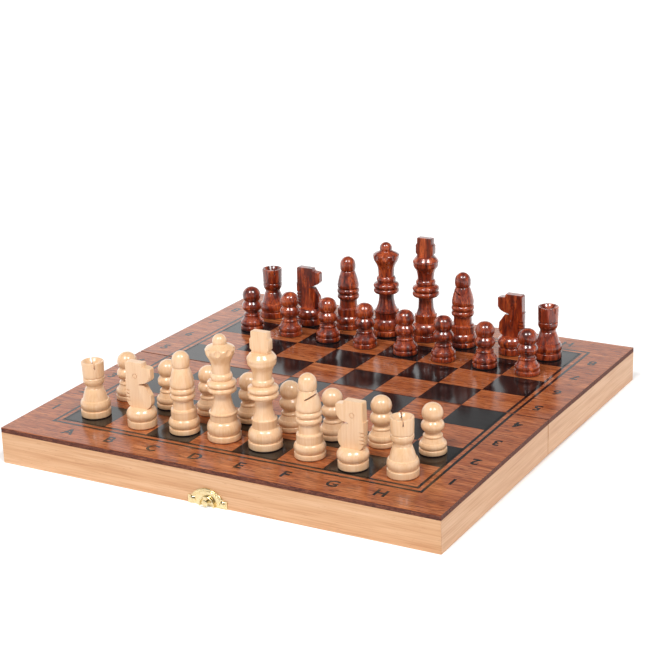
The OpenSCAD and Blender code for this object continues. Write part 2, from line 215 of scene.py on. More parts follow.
def finishMesh(bm, name, materials):
    bmesh.ops.remove_doubles(bm, verts=bm.verts, dist=meshing["weld"] * mm)
    bmesh.ops.recalc_face_normals(bm, faces=bm.faces)
    for face in bm.faces:
        face.smooth = True
    mesh = bpy.data.meshes.new(name)
    bm.to_mesh(mesh)
    bm.free()
    mesh.set_sharp_from_angle(angle=math.radians(meshing["sharpFrom"]))
    for polygon in mesh.polygons:
        # broad flats stay flat, so their rounded edges do not bend the shine across them
        if polygon.area > meshing["broadFlat"] * mm * mm:
            polygon.use_smooth = False
    for material in materials:
        mesh.materials.append(material)
    return mesh


def place(mesh, body, node):
    # a finished mesh becomes a piece of the same name, which stands for a CAD node
    piece = bpy.data.objects.new(mesh.name, mesh)
    scene.collection.objects.link(piece)
    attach(piece, body)
    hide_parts(node)


def refinish(node, material):
    # a CAD node whose shape is right keeps it, and takes a better finish
    finishes = frame["nodes"][node].data.materials
    finishes.clear()
    finishes.append(material)


# Materials
def linear(hexCode):
    channels = [int(hexCode[i:i + 2], 16) / 255 for i in (1, 3, 5)]
    return [c / 12.92 if c <= 0.04045 else ((c + 0.055) / 1.055) ** 2.4 for c in channels] + [1]


def addNode(tree, kind, settings, links=None):
    # settings name a socket, by name or number, or a property; "stops" fills a colour ramp
    node = tree.nodes.new(kind)
    for key, value in settings.items():
        if key == "stops":
            ramp = node.color_ramp.elements
            while len(ramp) < len(value):
                ramp.new(1)
            for stop, (position, colour) in zip(ramp, value):
                stop.position = position
                stop.color = linear(colour)
        elif isinstance(key, int) or key in node.inputs:
            node.inputs[key].default_value = value
        else:
            setattr(node, key, value)
    for key, output in (links or {}).items():
        tree.links.new(output, node.inputs[key])
    return node


def startMaterial(name, surface):
    material = bpy.data.materials.new(name)
    material.use_nodes = True
    tree = material.node_tree
    shader = tree.nodes["Principled BSDF"]
    for socket, value in surface.items():
        shader.inputs[socket].default_value = value
    spot = addNode(tree, "ShaderNodeTexCoord", {}).outputs["Object"]
    return material, tree, shader, spot


def grainSize(axis, along, across):
    # Mapping scale for a pattern that is so long and so wide in mm
    return [1000 / along if i == axis else 1000 / across for i in range(3)]


woodGrain = {"poreSoft": 0.09, "height": 0.05}    # how gradually a pore begins; height in mm


def woodMaterial(name, look):
    # on a Mix node for colours, 0 is the factor, 6 and 7 are the colours and output 2 the result
    material, tree, shader, spot = startMaterial(name, look["surface"])

    def layer(size, detail, distortion=0):
        mapped = addNode(tree, "ShaderNodeMapping", {"Scale": grainSize(look["axis"], *size)},
                         {"Vector": spot})
        return addNode(tree, "ShaderNodeTexNoise",
                       {"Scale": 1, "Detail": detail, "Distortion": distortion},
                       {"Vector": mapped.outputs["Vector"]}).outputs["Fac"]

    rings = addNode(tree, "ShaderNodeValToRGB", {"stops": look["rings"]},
                    {"Fac": layer(look["ringSize"], detail=3, distortion=look["swirl"])})
    fibres = addNode(tree, "ShaderNodeValToRGB", {"stops": look["fibres"]},
                     {"Fac": layer(look["fibreSize"], detail=2)})
    poreNoise = layer(look["poreSize"], detail=1)
    pores = addNode(tree, "ShaderNodeMapRange",
                    {"From Min": look["poreFrom"], "From Max": look["poreFrom"] + woodGrain["poreSoft"]},
                    {"Value": poreNoise})
    fibred = addNode(tree, "ShaderNodeMix", {"data_type": "RGBA", "blend_type": "MULTIPLY", 0: 1},
                     {6: rings.outputs["Color"], 7: fibres.outputs["Color"]})
    strength = addNode(tree, "ShaderNodeMath", {"operation": "MULTIPLY", 1: look["poreDepth"]},
                       {0: pores.outputs["Result"]})
    pored = addNode(tree, "ShaderNodeMix",
                    {"data_type": "RGBA", "blend_type": "MIX", 7: linear(look["poreColour"])},
                    {0: strength.outputs[0], 6: fibred.outputs[2]})
    tree.links.new(pored.outputs[2], shader.inputs["Base Color"])
    gloss = addNode(tree, "ShaderNodeMapRange", {"To Min": look["gloss"][0], "To Max": look["gloss"][1]},
                    {"Value": layer(look["ringSize"], detail=2)})
    tree.links.new(gloss.outputs["Result"], shader.inputs["Roughness"])
    height = addNode(tree, "ShaderNodeMath", {"operation": "MULTIPLY_ADD", 1: -1},
                     {0: pores.outputs["Result"], 2: poreNoise})
    relief = addNode(tree, "ShaderNodeBump",
                     {"Strength": look["relief"], "Distance": woodGrain["height"] * mm},
                     {"Height": height.outputs[0]})
    tree.links.new(relief.outputs["Normal"], shader.inputs["Normal"])
    return material


# planed pine, clear satin varnish: pale and even, with faint rings and a few short resin flecks
pineLook = {
    "axis": 0, "ringSize": (160, 6), "swirl": 0.3, "fibreSize": (30, 0.9), "poreSize": (4.5, 0.7),
    "rings": [(0.32, "#cc996d"), (0.5, "#d5a57a"), (0.7, "#dcb088")],
    "fibres": [(0.3, "#ecdfd0"), (0.6, "#ffffff")],
    "poreFrom": 0.7, "poreDepth": 0.55, "poreColour": "#a86b3c",
    "gloss": (0.38, 0.46), "relief": 0.2,
    "surface": {"IOR": 1.5, "Coat Weight": 0.2, "Coat Roughness": 0.25},
}
pineAlongX = woodMaterial("varnishedPineAlongX", pineLook)
pineAlongY = woodMaterial("varnishedPineAlongY", {**pineLook, "axis": 1})

# stained ash-like veneer, rubbed lacquer: red-brown, long dark pores drawn a little coarser than real
veneerLook = {
    "axis": 0, "ringSize": (80, 5), "swirl": 0.5, "fibreSize": (14, 0.65), "poreSize": (6.5, 0.6),
    "rings": [(0.3, "#a75a2f"), (0.5, "#bb6b3c"), (0.7, "#cf804d")],
    "fibres": [(0.3, "#ab8672"), (0.62, "#ffffff")],
    "poreFrom": 0.56, "poreDepth": 0.75, "poreColour": "#54230f",
    "gloss": (0.15, 0.23), "relief": 0.08,
    "surface": {"IOR": 1.55},
}
veneerTop = woodMaterial("stainedVeneer", veneerLook)

# end grain of the stained panel under the same stain: dark and speckled
veneerEdge = woodMaterial("stainedPanelEdge", {
    **veneerLook, "ringSize": (6, 1.2), "fibreSize": (2.4, 0.5), "poreSize": (1.1, 0.45),
    "rings": [(0.3, "#55281c"), (0.5, "#6e3b2a"), (0.7, "#8a533c")],
    "poreColour": "#34160f", "poreDepth": 0.7, "poreFrom": 0.56,
    "gloss": (0.6, 0.75), "relief": 0.4, "surface": {"IOR": 1.4},
})

# printed black under the same lacquer: near mirror-smooth, so it picks up the room and the men
inkLook = {"colour": "#131011", "IOR": 1.52, "rubSize": (30, 3), "gloss": (0.1, 0.17)}
inkMaterial, tree, shader, spot = startMaterial("blackPrintedLacquer", {
    "Base Color": linear(inkLook["colour"]), "IOR": inkLook["IOR"]})
mapped = addNode(tree, "ShaderNodeMapping", {"Scale": grainSize(0, *inkLook["rubSize"])},
                 {"Vector": spot})
rubbed = addNode(tree, "ShaderNodeTexNoise", {"Scale": 1, "Detail": 2}, {"Vector": mapped.outputs[0]})
dull = addNode(tree, "ShaderNodeMapRange",
               {"To Min": inkLook["gloss"][0], "To Max": inkLook["gloss"][1]},
               {"Value": rubbed.outputs["Fac"]})
tree.links.new(dull.outputs["Result"], shader.inputs["Roughness"])

# stamped brass, lacquered: pale yellow metal with a soft rolled shine
brassLook = {
    "patches": 700,    # to the metre
    "tints": [(0.3, "#d9c290"), (0.7, "#ecdcb2")], "gloss": (0.14, 0.24),
}
brassMaterial, tree, shader, spot = startMaterial("lacqueredBrass", {"Metallic": 1})
rolled = addNode(tree, "ShaderNodeTexNoise", {"Scale": brassLook["patches"], "Detail": 2},
                 {"Vector": spot})
tint = addNode(tree, "ShaderNodeValToRGB", {"stops": brassLook["tints"]},
               {"Fac": rolled.outputs["Fac"]})
tree.links.new(tint.outputs["Color"], shader.inputs["Base Color"])
dull = addNode(tree, "ShaderNodeMapRange",
               {"To Min": brassLook["gloss"][0], "To Max": brassLook["gloss"][1]},
               {"Value": rolled.outputs["Fac"]})
tree.links.new(dull.outputs["Result"], shader.inputs["Roughness"])

# turned hornbeam, clear gloss lacquer: cream with faint upright grain
creamWood = woodMaterial("glossHornbeam", {
    "axis": 2, "ringSize": (60, 5), "swirl": 0.5, "fibreSize": (16, 0.9), "poreSize": (4, 0.6),
    "rings": [(0.3, "#e9be90"), (0.5, "#eec59b"), (0.7, "#f2cca5")],
    "fibres": [(0.3, "#f8f1ea"), (0.6, "#ffffff")],
    "poreFrom": 0.7, "poreDepth": 0.15, "poreColour": "#c08c5a",
    "gloss": (0.3, 0.4), "relief": 0.05,
    "surface": {"IOR": 1.5, "Coat Weight": 0.7, "Coat Roughness": 0.15},
})

# turned hornbeam, red-brown dyed lacquer: deep colour that goes dark in the beads, grain shows through
redWood = woodMaterial("glossDyedHornbeam", {
    "axis": 2, "ringSize": (30, 5), "swirl": 0.8, "fibreSize": (8, 0.6), "poreSize": (3, 0.45),
    "rings": [(0.36, "#5c1507"), (0.5, "#a03810"), (0.64, "#d0602a")],
    "fibres": [(0.3, "#a07a6c"), (0.62, "#ffffff")],
    "poreFrom": 0.58, "poreDepth": 0.75, "poreColour": "#2e0904",
    "gloss": (0.3, 0.4), "relief": 0.08,
    "surface": {"IOR": 1.5, "Coat Weight": 1, "Coat Roughness": 0.05},
})

# pressed wool felt: mauve grey, matt, short fibres
feltLook = {
    "surface": {"Roughness": 0.95, "Sheen Weight": 0.4},
    "tufts": 2200,    # to the metre
    "tints": [(0.3, "#43363c"), (0.7, "#6c5860")],
    "relief": 0.7, "tuftHeight": 0.2,
}
feltMaterial, tree, shader, spot = startMaterial("greyFelt", feltLook["surface"])
wool = addNode(tree, "ShaderNodeTexNoise", {"Scale": feltLook["tufts"], "Detail": 4}, {"Vector": spot})
tint = addNode(tree, "ShaderNodeValToRGB", {"stops": feltLook["tints"]}, {"Fac": wool.outputs["Fac"]})
tree.links.new(tint.outputs["Color"], shader.inputs["Base Color"])
relief = addNode(tree, "ShaderNodeBump",
                 {"Strength": feltLook["relief"], "Distance": feltLook["tuftHeight"] * mm},
                 {"Height": wool.outputs["Fac"]})
tree.links.new(relief.outputs["Normal"], shader.inputs["Normal"])
print("materials made")

# Board: panels, rails and print, in mm, drawn flat with the fold at y = 0
halfWidth = board["width"] / 2 / mm
halfDepth = board["halfDepth"] / mm
railWidth = board["railWidth"] / mm
railHeight = board["railHeight"] / mm
topHeight = board["height"] / mm
pitch = board["pitch"] / mm
boardEdges = {
    "panelRound": 0.35, "foldRound": 0.15, "nearFold": 1, "railRound": 0.25,
    "seam": 0.2,    # each half stands back from the fold line, so the joint shows dark
    "topFacing": 0.7,    # upward part of the normal, from which a face has the veneer
}
seam = boardEdges["seam"]
sideBody = {"front": "front_half", "rear": "rear_half"}

for side in ("front", "rear"):
    toPlace = inHalf[side]
    # panel: rounded all round but nearly square at the fold
    bm = block((-halfWidth, -halfDepth, railHeight), (halfWidth, -seam, topHeight))
    nearFold = -boardEdges["nearFold"] * mm
    softenEdges(bm, boardEdges["panelRound"], pick=lambda e: all(v.co.y < nearFold for v in e.verts))
    softenEdges(bm, boardEdges["foldRound"], 2, pick=lambda e: all(v.co.y > nearFold for v in e.verts))
    for face in bm.faces:
        face.material_index = 0 if face.normal.z > boardEdges["topFacing"] else 1
    place(finishMesh(moved(bm, toPlace), side + "Panel", [veneerTop, veneerEdge]),
          sideBody[side], side + "_panel")
    # outer rail with mitred ends
    bm = slab([(-halfWidth, -halfDepth), (halfWidth, -halfDepth),
               (halfWidth - railWidth, -halfDepth + railWidth),
               (-halfWidth + railWidth, -halfDepth + railWidth)], 0, railHeight)
    softenEdges(bm, boardEdges["railRound"], 2)
    place(finishMesh(moved(bm, toPlace), side + "Rail", [pineAlongX]),
          sideBody[side], side + "_rail")
    for end, sign in (("left", 1), ("right", -1)):
        outer, inner = -halfWidth * sign, (-halfWidth + railWidth) * sign
        bm = slab([(outer, -halfDepth), (inner, -halfDepth + railWidth), (inner, -seam), (outer, -seam)],
                  0, railHeight)
        softenEdges(bm, boardEdges["railRound"], 2)
        place(finishMesh(moved(bm, toPlace), side + "SideRail" + end.capitalize(), [pineAlongY]),
              sideBody[side], side + "_side_rail_" + end)
    refinish(side + "_fold_rail", pineAlongX)

printing = {
    "gap": 0.1, "lineWidth": 1.8, "lineGap": 4.2, "film": 0.03, "sink": 0.1, "foldEdge": 0.35,
    "letterHeight": 8.1, "letterRow": 132.8,
    "digitHeight": 8.1, "digitColumn": {-1: 135.2, 1: 132},    # at the left, at the right
    "thicken": 0.03,    # of the letter's own size
}
filmLow = topHeight - printing["sink"]
filmHigh = topHeight + printing["film"]


def glyph(letter, height, spot, facesAway):
    # one letter as a thin closed film, centred on its spot
    curve = bpy.data.curves.new("glyph", "FONT")
    curve.body = letter
    curve.offset = printing["thicken"]
    curve.extrude = 0.01    # any thickness, because it is scaled to that of the film
    item = bpy.data.objects.new("glyph", curve)
    scene.collection.objects.link(item)
    mesh = bpy.data.meshes.new_from_object(item.evaluated_get(bpy.context.evaluated_depsgraph_get()))
    bpy.data.objects.remove(item)
    bm = bmesh.new()
    bm.from_mesh(mesh)
    bpy.data.meshes.remove(mesh)
    lows = [min(v.co[i] for v in bm.verts) for i in range(3)]
    highs = [max(v.co[i] for v in bm.verts) for i in range(3)]
    scale = height * mm / (highs[1] - lows[1])
    centre = Vector([(a + b) / 2 for a, b in zip(lows, highs)])
    thick = (filmHigh - filmLow) * mm / (highs[2] - lows[2])
    matrix = (Matrix.Translation((spot[0] * mm, spot[1] * mm, (filmLow + filmHigh) / 2 * mm))
              @ Matrix.Rotation(math.pi if facesAway else 0, 4, "Z")
              @ Matrix.Diagonal((scale, scale, thick, 1))
              @ Matrix.Translation(-centre))
    bmesh.ops.transform(bm, matrix=matrix, verts=bm.verts)
    return bm


field = 4 * pitch    # half the width of the squares
for side in ("front", "rear"):
    bm = bmesh.new()
    shift = 0 if side == "front" else 1    # so that square a1 is black
    inset = printing["gap"] / 2
    for file in range(8):
        for row in range(1, 5):    # from the fold outwards
            if (file + row + shift) % 2 == 0:
                near = max(inset, printing["foldEdge"] if row == 1 else 0)
                join(bm, block(((file - 4) * pitch + inset, -row * pitch + inset, filmLow),
                               ((file - 3) * pitch - inset, -(row - 1) * pitch - near, filmHigh)))
    half = printing["lineWidth"] / 2
    for edge in (field, field + printing["lineGap"]):
        join(bm, block((-edge - half, -edge - half, filmLow), (edge + half, -edge + half, filmHigh)))
        for sign in (-1, 1):
            join(bm, block((sign * edge - half, -edge + half, filmLow),
                           (sign * edge + half, -printing["foldEdge"], filmHigh)))
    moved(bm, inHalf[side])
    # letters and digits are set before the half is turned, so they are never mirrored
    depthSign = -1 if side == "front" else 1
    for file in range(8):
        letter = glyph("ABCDEFGH"[file], printing["letterHeight"],
                       ((file - 3.5) * pitch, depthSign * printing["letterRow"]), side == "rear")
        join(bm, moved(letter, onTable[side]))
    for row in range(4):
        rank = row if side == "front" else row + 4
        for sign in (-1, 1):
            digit = glyph(str(rank + 1), printing["digitHeight"],
                          (sign * printing["digitColumn"][sign], (rank - 3.5) * pitch), sign > 0)
            join(bm, moved(digit, onTable[side]))
    place(finishMesh(bm, side + "Print", [inkMaterial]), sideBody[side], side + "_print")
print("board made")

# Hinges keep the frame's leaves and pins; the screws get slotted domes
for node in ("front_hinge_leaf_left", "front_hinge_leaf_right", "rear_hinge_leaf_left",
             "rear_hinge_leaf_right", "hinge_pin_left", "hinge_pin_right"):
    refinish(node, brassMaterial)

screw = {
    "headRadius": 1.6, "headHeight": 0.5, "shank": 0.8, "length": 6, "tip": 0.4,
    "slot": 0.35, "slotDepth": 0.25, "slotAngle": 0.4, "slotWander": 0.5,
    "leafUnder": 0.9, "leafWidth": 25, "fromFold": 4.5,
}
leafLow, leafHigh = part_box("front_hinge_leaf_right")
hingeX = (leafLow[0] + leafHigh[0]) / 2 / mm
for side in ("front", "rear"):
    bm = bmesh.new()
    for x in (-hingeX, hingeX):
        for step in (-1, 1):
            one = turn([(0, -screw["headHeight"]), (screw["headRadius"], 0, 0.15),
                        (screw["shank"], 0.02), (screw["shank"], screw["length"]),
                        (0, screw["length"] + screw["tip"])], steps=32)
            one = combine(one, [block((-2, -screw["slot"] / 2, -2),
                                      (2, screw["slot"] / 2,
                                       -screw["headHeight"] + screw["slotDepth"]))])
            spot = Vector((x + step * screw["leafWidth"] / 3, -screw["fromFold"],
                           screw["leafUnder"])) * mm
            # each screw was left with its slot at another angle
            angle = screw["slotAngle"] + step * screw["slotWander"] + x * 0.01
            join(bm, moved(one, Matrix.Translation(spot) @ Matrix.Rotation(angle, 4, "Z")))
    place(finishMesh(moved(bm, inHalf[side]), side + "HingeScrews", [brassMaterial]),
          sideBody[side], side + "_hinge_screws")
print("hinges made")

# Clasp plates, nails and rivets, drawn with x along the rail, y up and z out from it
clasp = {
    "width": 26, "height": 10.8, "endHeight": 5, "shoulder": 2.4, "thick": 0.6, "round": 0.15,
    "beads": [(0.62, 0.34), (1.75, 0.22)],    # distance in from the bowed edge, and size
    "beadReach": (0.94, 0.03),    # of the bow, and less for each mm inwards
    "archRadius": 5.1, "archWall": 0.7, "archOut": 1.6, "archHeight": 1.2, "archRound": 0.2,
    "bossRadius": 2.3, "bossNeck": 2,
    "nailX": 10, "nailHeight": 2.8, "nailRadius": 2, "nailShank": 0.7, "nailLength": 5,
    "studHeight": 2.8, "pivotHeight": 4.6,
    "rivetRadius": 1, "rivetHead": 2, "rivetLength": 4.9, "rivetDome": 0.6,
    "hookUnder": 2.35, "hookThick": 0.8, "gap": 0.08,
    "arcSteps": 28, "beadSteps": 32, "hoodSteps": 20,
}


def claspPlate(side):
    # a bowed plate, with the arched catch on the front one and the hook's boss on the rear one
    rise = clasp["height"] - clasp["endHeight"]
    reach = clasp["width"] / 2 - clasp["shoulder"]
    bow = (rise * rise + reach * reach) / (2 * rise)
    middle = clasp["height"] - bow
    spread = math.acos((clasp["endHeight"] - middle) / bow)
    half = clasp["width"] / 2
    ends = [(half, 0), (half, clasp["endHeight"])]
    angles = [spread * (1 - 2 * i / clasp["arcSteps"]) for i in range(clasp["arcSteps"] + 1)]
    arc = [(bow * math.sin(a), middle + bow * math.cos(a)) for a in angles]
    outline = ends + arc + [(-x, y) for x, y in reversed(ends)]
    bm = softenEdges(slab(outline, 0, clasp["thick"]), clasp["round"], 2)
    parts = []
    for inset, size in clasp["beads"]:
        # a rolled line that follows the bow
        rope = bmesh.new()
        ring = bmesh.ops.create_circle(rope, segments=12, radius=size * mm)["verts"]
        start = (Matrix.Translation((0, (bow - inset) * mm, clasp["thick"] * mm))
                 @ Matrix.Rotation(math.pi / 2, 4, "Y"))
        bmesh.ops.transform(rope, matrix=start, verts=ring)
        sweep = spread * (clasp["beadReach"][0] - inset * clasp["beadReach"][1])
        bmesh.ops.rotate(rope, matrix=Matrix.Rotation(-sweep, 3, "Z"), verts=ring)
        bmesh.ops.spin(rope, geom=rope.edges[:], axis=(0, 0, 1), cent=(0, 0, 0), dvec=(0, 0, 0),
                       angle=2 * sweep, steps=clasp["beadSteps"], use_merge=False, use_duplicate=False)
        bmesh.ops.holes_fill(rope, edges=[e for e in rope.edges if e.is_boundary])
        parts.append(moved(rope, Matrix.Translation((0, middle * mm, 0))))
    if side == "front":
        outer, inner = clasp["archRadius"], clasp["archRadius"] - clasp["archWall"]
        foot = clasp["archHeight"]
        turns = [math.pi * i / clasp["hoodSteps"] for i in range(clasp["hoodSteps"] + 1)]
        over = [(outer * math.cos(a), foot + outer * math.sin(a)) for a in turns]
        back = [(-inner * math.cos(a), foot + inner * math.sin(a)) for a in turns]
        hood = [(outer, 0)] + over + [(-outer, 0), (-inner, 0)] + back + [(inner, 0)]
        arch = slab(hood, clasp["thick"] - 0.1, clasp["thick"] + clasp["archOut"])
        parts.append(softenEdges(arch, clasp["archRound"], 3, 40))
    else:
        top = clasp["hookUnder"] - clasp["gap"]
        wide, neck = clasp["bossRadius"], clasp["bossNeck"]
        boss = turn([(0, 0.3), (wide, 0.3), (wide, 0.6), (neck, 0.9, -0.3), (neck, top - 0.15),
                     (1.85, top, 0.4), (0, top)], 40)
        parts.append(moved(boss, Matrix.Translation((0, clasp["pivotHeight"] * mm, 0))))
    return join(bm, *parts)


def nailPair():
    bm = bmesh.new()
    base, shank, point = clasp["thick"], clasp["nailShank"], clasp["nailLength"]
    for x in (-clasp["nailX"], clasp["nailX"]):
        nail = turn([(0, -point), (shank, 1 - point), (shank, base), (1.95, base),
                     (clasp["nailRadius"], base + 0.15, 0.3), (shank, base + 1.05, 0.17),
                     (0, base + 1.12, 0.03)], 40, 10)
        join(bm, moved(nail, Matrix.Translation((x * mm, clasp["nailHeight"] * mm, 0))))
    return bm


def rivet(height):
    neck = clasp["hookUnder"] + clasp["hookThick"] + clasp["gap"]
    r, head, end = clasp["rivetRadius"], clasp["rivetHead"], -clasp["rivetLength"]
    crown = neck + clasp["rivetDome"]
    bm = turn([(0, end), (r, end), (r, neck), (head - 0.15, neck), (head, neck + 0.15, 0.4),
               (head, neck + 0.25), (head * 0.5, crown, 0.22), (0, crown + 0.08, 0.04)], 40, 10)
    return moved(bm, Matrix.Translation((0, height * mm, 0)))


onRail = Matrix.Translation((0, -board["halfDepth"], 0)) @ Matrix.Rotation(math.pi / 2, 4, "X")
for side, prefix, body in (("front", "catch", "front_half"), ("rear", "latch", "rear_half")):
    toPlace = inHalf[side] @ onRail
    height, rivetNode = ((clasp["studHeight"], "catch_stud") if side == "front"
                         else (clasp["pivotHeight"], "latch_pivot"))
    for bm, node in ((claspPlate(side), prefix + "_plate"), (nailPair(), prefix + "_nails"),
                     (rivet(height), rivetNode)):
        words = node.split("_")
        name = words[0] + words[1].capitalize()
        place(finishMesh(moved(bm, toPlace), name, [brassMaterial]), body, node)
refinish("latch_hook", brassMaterial)
print("clasp made")

# Men: outlines from the axis under the foot to the axis at the top, (radius, height, bulge) in mm
men = {
    "pawn": {"foot": 8.05, "outline": [
        (0, 0.35), (7.6, 0.35), (8.05, 0.8, 0.3), (8.0, 2.8, 0.05), (7.6, 3.2, 0.3), (7.3, 3.3),
        (7.3, 6.9, 0.38), (6.8, 7.1), (5.6, 9.6, -0.08), (5.4, 9.7), (5.3, 11.4, 0.4), (4.6, 11.8),
        (4.5, 13.2, -0.1), (5.2, 13.6), (5.3, 19.6, 0.48), (4.9, 20.3), (0, 30, 0.63)]},
    "king": {"foot": 10, "outline": [
        (0, 0.35), (9.5, 0.35), (10, 0.9, 0.35), (9.95, 4.0, 0.03), (9.5, 4.5, 0.3), (9.1, 4.65),
        (7.8, 12.2, 0.36), (7.3, 12.5), (7.35, 16.6), (7.4, 17.6, 0.15), (6.4, 18.2, -0.2),
        (4.95, 26.5, -0.12), (4.95, 30.3), (8.0, 30.4), (8.0, 33.7, 0.6), (7.5, 33.9),
        (8.0, 34.1), (8.0, 37.2, 0.6), (7.0, 37.7), (5.8, 38.0), (5.8, 41.6, 0.45), (5.4, 41.9),
        (5.9, 46.6, -0.04), (7.2, 49.4, -0.1), (8.3, 52.8, 0.25), (7.7, 55.6, 0.35), (6.4, 57.2, 0.1),
        (0, 57.4)]},
    "queen": {"foot": 10, "outline": [
        (0, 0.35), (9.5, 0.35), (10, 0.9, 0.35), (9.95, 3.5), (9.5, 3.9, 0.3), (9.1, 4.05),
        (8.3, 11.7, 0.33), (7.8, 12.0), (7.9, 15.6), (8.3, 16.2), (8.3, 17.2, 0.2), (7.4, 17.6),
        (5.05, 25.5, -0.12), (5.0, 29.3), (7.8, 29.5), (7.8, 32.5, 0.5), (7.3, 32.7),
        (7.8, 32.9), (7.8, 36.0, 0.55), (6.8, 36.5), (5.7, 36.8), (5.7, 40.6, 0.42), (5.3, 40.9),
        (5.5, 45.3, -0.02), (6.0, 47.8, -0.1), (8.1, 51.8, -0.05), (8.7, 54.8, 0.08),
        (8.5, 55.7, 0.35), (7.4, 56.7, 0.1), (4.9, 57.8), (3.9, 58.4), (0, 64, 0.524)]},
    "bishop": {"foot": 9.15, "outline": [
        (0, 0.35), (8.7, 0.35), (9.15, 0.85, 0.35), (9.1, 3.0), (8.7, 3.4, 0.3), (8.3, 3.55),
        (8.1, 8.9, 0.4), (7.5, 9.1), (7.6, 12.2), (7.5, 12.8), (7.3, 14.6, 0.2), (6.1, 15.2, -0.15),
        (5.9, 20.6), (6.8, 20.9), (6.8, 24.2, 0.45), (6.4, 24.4), (6.8, 24.6), (6.9, 27.9, 0.45),
        (6.6, 28.1), (7.3, 29.9, 0.25), (7.2, 31.4, 0.1), (4.9, 39.7, 0.05), (4.6, 40.1),
        (4.6, 40.5), (5.1, 41.3, 0.25), (5.25, 44.4, 0.08), (0, 50, 0.41)]},
    "rook": {"foot": 9.1, "outline": [
        (0, 0.35), (8.65, 0.35), (9.1, 0.9, 0.35), (9.05, 4.0), (8.7, 4.4, 0.3), (8.3, 4.5),
        (8.3, 10.2, 0.28), (7.6, 10.6), (7.5, 10.9), (5.5, 17.4, 0.03), (5.1, 17.9), (5.1, 19.6),
        (5.5, 20.1), (6.5, 23.8, 0.22), (6.4, 24.4, 0.2), (6.0, 24.7), (6.0, 25.0),
        (6.55, 25.4, 0.2), (6.75, 34.1), (6.35, 34.5, 0.4), (5.7, 34.5), (5.3, 34.2, 0.2),
        (3.9, 32.5, -0.1), (0, 32.2, -0.05)]},
    "knight": {"foot": 8.8, "outline": [
        (0, 0.35), (8.35, 0.35), (8.8, 0.9, 0.35), (8.75, 4.3), (8.4, 4.65, 0.3), (7.9, 4.8),
        (7.6, 11.2, 0.45), (6.8, 11.7, 0.2), (0, 12)]},
}
men["king"]["finial"] = {
    "thick": 5, "round": 0.5,
    "outline": [(5.3, 56.4), (5.3, 58.6), (6.25, 59.6), (6.25, 65.2), (5.3, 66.2), (5.25, 70)],
}
men["queen"]["scoops"] = {
    "count": 8, "radius": 2.6, "tall": 4.2, "height": 55.2, "rim": 8.5, "depth": 0.75,
}
men["bishop"]["kerf"] = {"thick": 0.9, "floor": (-0.3, 35.8), "tilt": 26}
men["rook"]["slot"] = {"wide": 0.85, "floor": 30.9}
men["knight"]["head"] = {
    "thick": 5.4, "outline": [
        (9.6, 11.3), (9.6, 28.4), (8.1, 28.5), (8, 39.3), (7.3, 40), (-3.5, 40), (-4.1, 37.9),
        (-8.7, 37.4), (-9.25, 36.8), (-9.25, 31), (-8.2, 29.5), (-4.6, 27.8), (-1.2, 27),
        (-1.2, 26.4), (-4.1, 26.2), (-8.3, 20.2), (-8.6, 16), (-8, 11.3)],
    "blank": [(0, 11), (5.4, 11.5), (8.7, 15.8, 0.25), (8.75, 28.4), (10.3, 28.5), (10.3, 41), (0, 41)],
    "facet": [(-0.6, 26), (-3.5, 16), (-8.2, 20.3)], "facetDepth": 1.1,
    "facetReach": [(1.5, 26.35), (-12, 26.35), (-12, 6), (1.5, 6)],
    "muzzle": 0.9, "muzzleFrom": -8, "round": 0.3, "roundFrom": -8.5, "jaw": 28,
    "eye": (1.4, 31.8), "eyeRadius": 1.4, "eyeGroove": (0.25, 0.2), "eyeDepth": 0.35,
    "mane": (15.6, 17.8, 20, 22.2),
    "notch": (3.4, 0.9, 0.45), "notchFrom": 6.9, "notchTurn": 25,    # half its size each way
}
feltPad = {"thick": 0.35, "inset": 0.5, "clear": 0.04, "round": 0.1}    # clear of the ink's film
turned = {    # degrees that a man is turned on its square, where it shows
    "white_rook_a": 45, "white_knight_b": 180, "white_bishop_c": 126, "white_bishop_f": 13,
    "white_rook_h": 32, "black_rook_a": 45, "black_knight_b": 180, "black_bishop_c": 120,
    "black_bishop_f": 187, "black_rook_h": -28,
}
upright = Matrix.Rotation(math.pi / 2, 4, "X")    # stands a flat drawing up, facing -y


def kingShape():
    look = men["king"]["finial"]
    right = look["outline"]
    outline = right + [(-x, z) for x, z in reversed(right)]
    finial = softenEdges(slab(outline, -look["thick"] / 2, look["thick"] / 2), look["round"], 2)
    return combine(turn(men["king"]["outline"]), [moved(finial, upright)], "UNION")


def queenShape():
    look = men["queen"]["scoops"]
    cutters = []
    for i in range(look["count"]):
        bm = bmesh.new()
        bmesh.ops.create_uvsphere(bm, u_segments=24, v_segments=16, radius=1 * mm)
        out = look["rim"] + look["radius"] - look["depth"]
        matrix = (Matrix.Rotation(2 * math.pi * (i + 0.5) / look["count"], 4, "Z")
                  @ Matrix.Translation((out * mm, 0, look["height"] * mm))
                  @ Matrix.Diagonal((look["radius"], look["radius"], look["tall"], 1)))
        cutters.append(moved(bm, matrix))
    return combine(turn(men["queen"]["outline"]), cutters)


def bishopShape():
    look = men["bishop"]["kerf"]
    saw = block((0, -12, -look["thick"] / 2), (20, 12, look["thick"] / 2))
    x, z = look["floor"]
    matrix = (Matrix.Translation((x * mm, 0, z * mm))
              @ Matrix.Rotation(-math.radians(look["tilt"]), 4, "Y"))
    return combine(turn(men["bishop"]["outline"]), [moved(saw, matrix)])


def rookShape():
    look = men["rook"]["slot"]
    wide = look["wide"] / 2
    return combine(turn(men["rook"]["outline"]),
                   [block((-12, -wide, look["floor"]), (12, wide, 40)),
                    block((-wide, -12, look["floor"]), (wide, 12, 40))])


